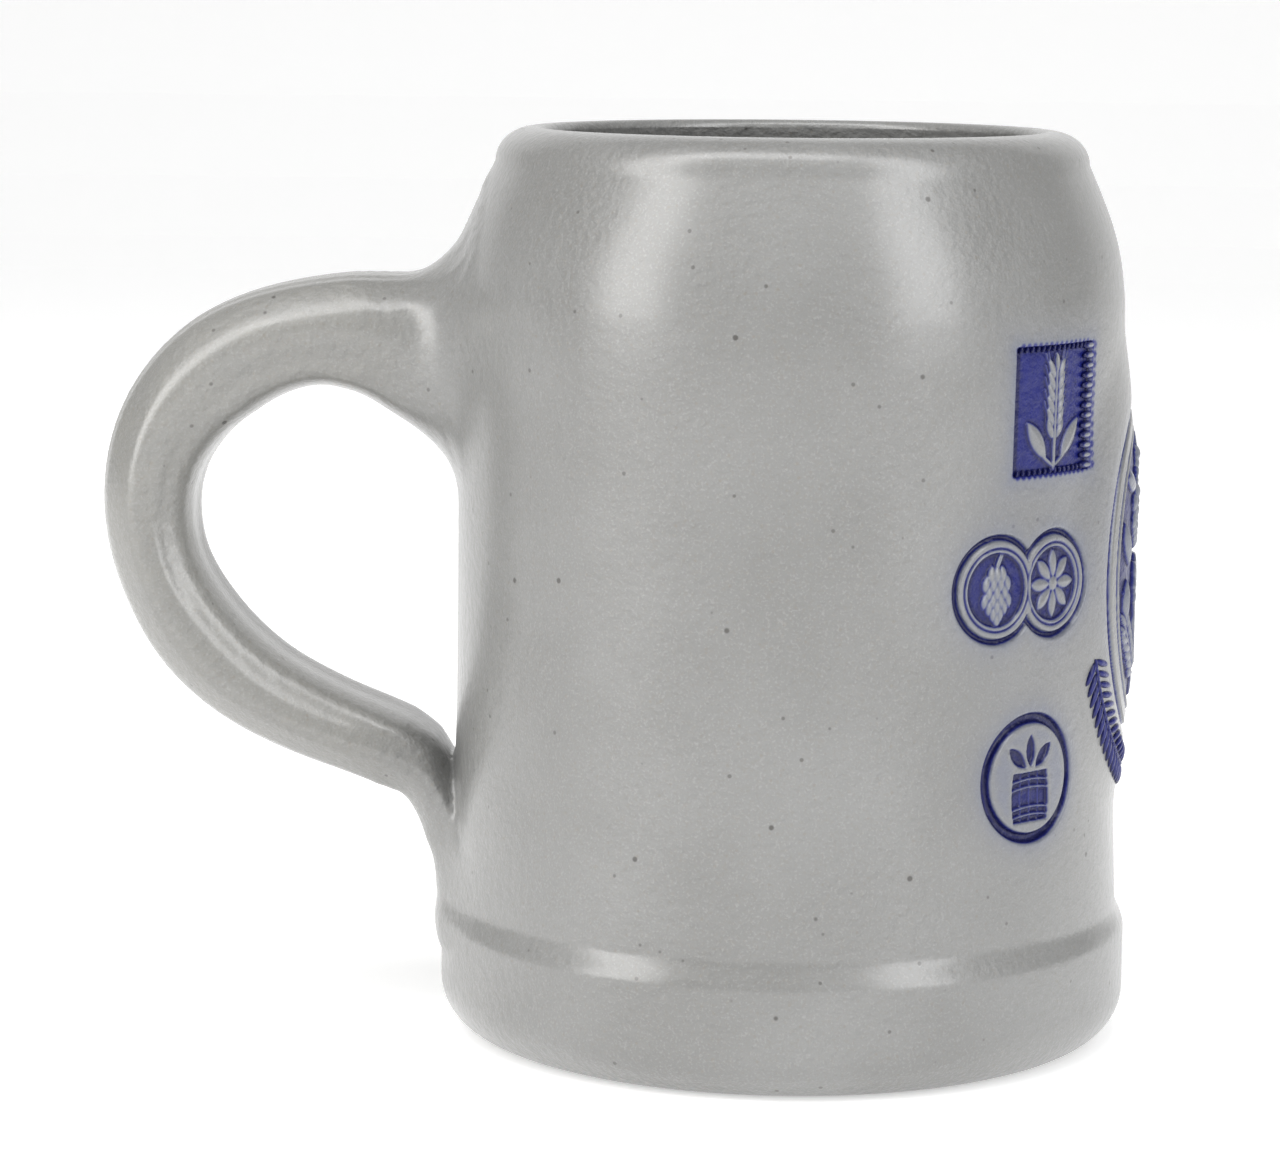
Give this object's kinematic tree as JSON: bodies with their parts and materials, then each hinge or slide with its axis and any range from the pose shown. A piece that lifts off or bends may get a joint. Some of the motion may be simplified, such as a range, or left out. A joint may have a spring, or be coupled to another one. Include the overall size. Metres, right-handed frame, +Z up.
{
  "type": "beer stein",
  "caption": "Turned stoneware beer mug with a foot band, drawn-in rim, looped strap handle luted on at both ends, and relief emblems round the wall.",
  "frame": {"origin": "centre of the foot's flat underside, on the mug's turning axis", "axes": "+Z up along the mug's axis, handle towards -X, centre emblem towards +X, +Y completes a right-handed frame"},
  "size_m": [0.1446, 0.096, 0.1256],
  "materials": {
    "stoneware": "salt glaze, satin to gloss with a fine orange-peel grain",
    "slip": "salt-glazed slip",
    "cobalt_relief": "cobalt blue under clear salt glaze"
  },
  "bodies": {
    "root": {"body": "stoneware", "handle": "stoneware", "upper_slip_joint": "slip", "lower_slip_joint": "slip", "emblem_stamp": "cobalt_relief", "emblem_twin": "cobalt_relief", "emblem_oval": "cobalt_relief", "emblem_centre": "cobalt_relief", "emblem_garland": "cobalt_relief", "emblem_shield": "cobalt_relief", "emblem_roundel": "cobalt_relief", "emblem_octagon": "cobalt_relief"}
  },
  "joints": []
}
